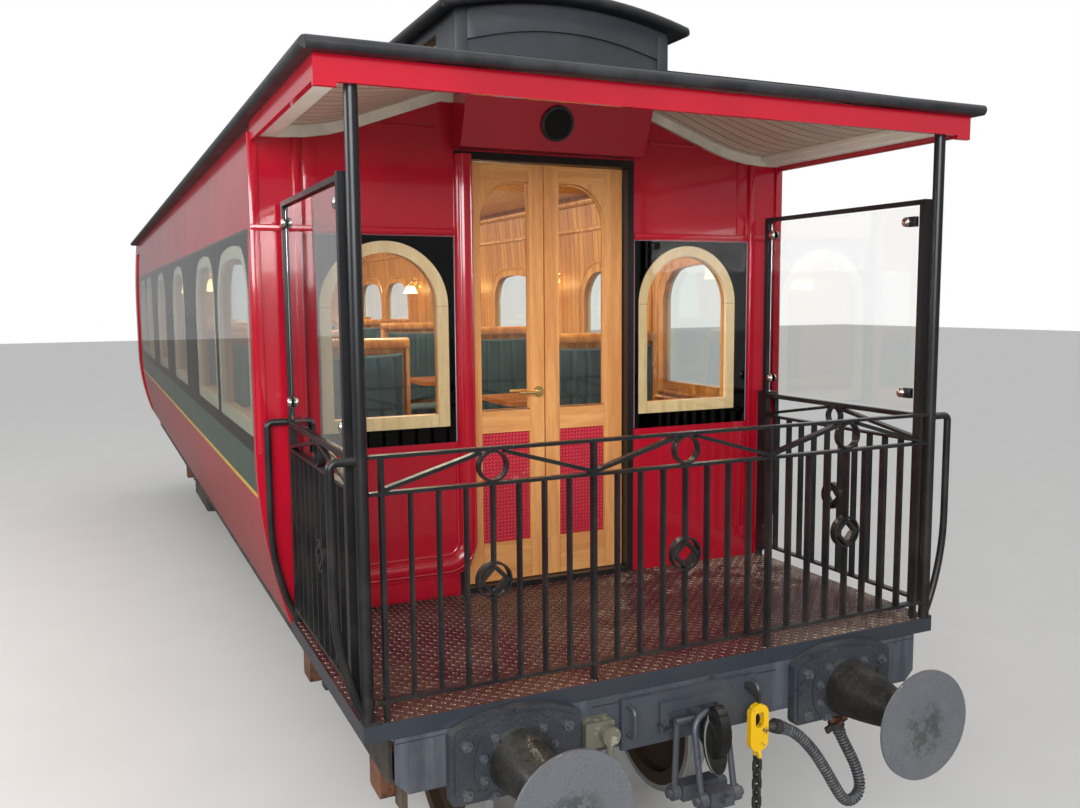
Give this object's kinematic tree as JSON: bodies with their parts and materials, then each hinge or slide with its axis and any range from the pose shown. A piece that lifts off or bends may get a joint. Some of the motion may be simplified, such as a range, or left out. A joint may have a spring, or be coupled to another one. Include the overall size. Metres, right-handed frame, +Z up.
{
  "type": "passenger coach",
  "caption": "Narrow-gauge bogie passenger coach with a clerestory roof, an open railed balcony at one end and an enclosed vestibule at the other.",
  "frame": {"origin": "on the floor under the middle of the coach, level with the bottom of the wheel flanges", "axes": "+Y along the coach from the open balcony to the enclosed vestibule, +X to the right seen from the balcony end, +Z up"},
  "size_m": [2.8, 12.117, 3.8726],
  "materials": {
    "body_red": "gloss crimson paint",
    "roof_black": "satin black roof paint",
    "slate": "satin slate grey",
    "cream": "cream paint",
    "pine": "varnished honey pine",
    "pale_pine": "varnished pale pine",
    "black_steel": "satin black, worn to grey at the edges",
    "headstock_grey": "weathered blue-grey",
    "under_black": "dusty black",
    "deck_maroon": "maroon chequer plate worn to grey",
    "floor_wood": "oiled boards",
    "coach_glass": "flush dark glass",
    "clear_glass": "clear glass",
    "brass": "polished",
    "wheel_steel": "rusty brown with bright treads",
    "buffer_iron": "worn grey heads on oily black shanks",
    "coupling_iron": "weathered grey forgings",
    "chain_yellow": "chipped yellow hook on a bare chain",
    "hose_rubber": "corrugated grey rubber",
    "seat_cloth": "teal-green cloth",
    "lamp_glass": "frosted warm glass"
  },
  "bodies": {
    "coach_body": {"underframe": "under_black", "headstocks": "headstock_grey", "floor": "floor_wood", "deck_plate": "deck_maroon", "side_left": "body_red", "side_right": "body_red", "end_wall_front": "body_red", "end_wall_rear": "body_red", "partition": "pale_pine", "roof_lower": "roof_black", "canopy_ceiling": "cream", "roof_fascia": "body_red", "clerestory_walls": "cream", "clerestory_roof": "roof_black", "window_glass": "coach_glass", "side_window_frames": "cream", "front_window_frames": "pale_pine", "door_frame": "black_steel", "door_pillar": "body_red", "speaker_box": "body_red", "speaker_grille": "black_steel", "corner_posts": "black_steel", "body_grab_rails": "black_steel", "railing_front": "black_steel", "buffers": "buffer_iron", "draw_gear": "coupling_iron", "vestibule_frames": "pale_pine", "seats": "seat_cloth", "tables": "pine", "wall_lamps": "lamp_glass", "underfloor_gear": "under_black", "brake_pipes": "under_black", "brake_hose": "hose_rubber", "jumper_socket": "coupling_iron", "safety_chain": "chain_yellow"},
    "door_left": {"door_left": "pine", "door_glass_left": "clear_glass", "door_handle": "brass"},
    "door_right": {"door_right": "pine", "door_glass_right": "clear_glass"},
    "gate_left": {"gate_left": "black_steel", "gate_glass_left": "clear_glass"},
    "gate_right": {"gate_right": "black_steel", "gate_glass_right": "clear_glass"},
    "vestibule_door_left": {"vestibule_door_left": "pine"},
    "vestibule_door_right": {"vestibule_door_right": "pine"},
    "end_door": {"end_door": "pine"},
    "bogie_front": {"bogie_frame_front": "under_black", "bogie_springs_front": "under_black"},
    "bogie_rear": {"bogie_frame_rear": "under_black", "bogie_springs_rear": "under_black"},
    "wheelset_1": {"wheelset_1": "wheel_steel"},
    "wheelset_2": {"wheelset_2": "wheel_steel"},
    "wheelset_3": {"wheelset_3": "wheel_steel"},
    "wheelset_4": {"wheelset_4": "wheel_steel"}
  },
  "joints": [
    {"name": "bogie_front_swivel", "type": "hinge", "parent": "coach_body", "child": "bogie_front", "pos_m": [0, -3.7, 0.82], "axis": [0, 0, 1], "range_deg": [-4, 4]},
    {"name": "bogie_rear_swivel", "type": "hinge", "parent": "coach_body", "child": "bogie_rear", "pos_m": [0, 3.7, 0.82], "axis": [0, 0, 1], "range_deg": [-4, 4]},
    {"name": "wheelset_1_roll", "type": "hinge", "parent": "bogie_front", "child": "wheelset_1", "pos_m": [0, -4.45, 0.388], "axis": [1, 0, 0], "continuous": true},
    {"name": "wheelset_2_roll", "type": "hinge", "parent": "bogie_front", "child": "wheelset_2", "pos_m": [0, -2.95, 0.388], "axis": [1, 0, 0], "continuous": true},
    {"name": "wheelset_3_roll", "type": "hinge", "parent": "bogie_rear", "child": "wheelset_3", "pos_m": [0, 2.95, 0.388], "axis": [1, 0, 0], "continuous": true},
    {"name": "wheelset_4_roll", "type": "hinge", "parent": "bogie_rear", "child": "wheelset_4", "pos_m": [0, 4.45, 0.388], "axis": [1, 0, 0], "continuous": true},
    {"name": "door_left_hinge", "type": "hinge", "parent": "coach_body", "child": "door_left", "pos_m": [-0.436, -4.2595, 2.1], "axis": [0, 0, 1], "range_deg": [0, 90]},
    {"name": "door_right_hinge", "type": "hinge", "parent": "coach_body", "child": "door_right", "pos_m": [0.436, -4.2595, 2.1], "axis": [0, 0, -1], "range_deg": [0, 90]},
    {"name": "gate_left_hinge", "type": "hinge", "parent": "coach_body", "child": "gate_left", "pos_m": [-1.225, -5.5055, 1.9], "axis": [0, 0, -1], "range_deg": [0, 85]},
    {"name": "gate_right_hinge", "type": "hinge", "parent": "coach_body", "child": "gate_right", "pos_m": [1.225, -5.5055, 1.9], "axis": [0, 0, 1], "range_deg": [0, 85]},
    {"name": "vestibule_door_left_hinge", "type": "hinge", "parent": "coach_body", "child": "vestibule_door_left", "pos_m": [-1.1758, 5.2585, 2.1], "axis": [0, 0, 1], "range_deg": [0, 88]},
    {"name": "vestibule_door_right_hinge", "type": "hinge", "parent": "coach_body", "child": "vestibule_door_right", "pos_m": [1.1758, 5.2585, 2.1], "axis": [0, 0, -1], "range_deg": [0, 88]},
    {"name": "end_door_hinge", "type": "hinge", "parent": "coach_body", "child": "end_door", "pos_m": [0.323, 5.4965, 2.1], "axis": [0, 0, 1], "range_deg": [0, 88]}
  ]
}
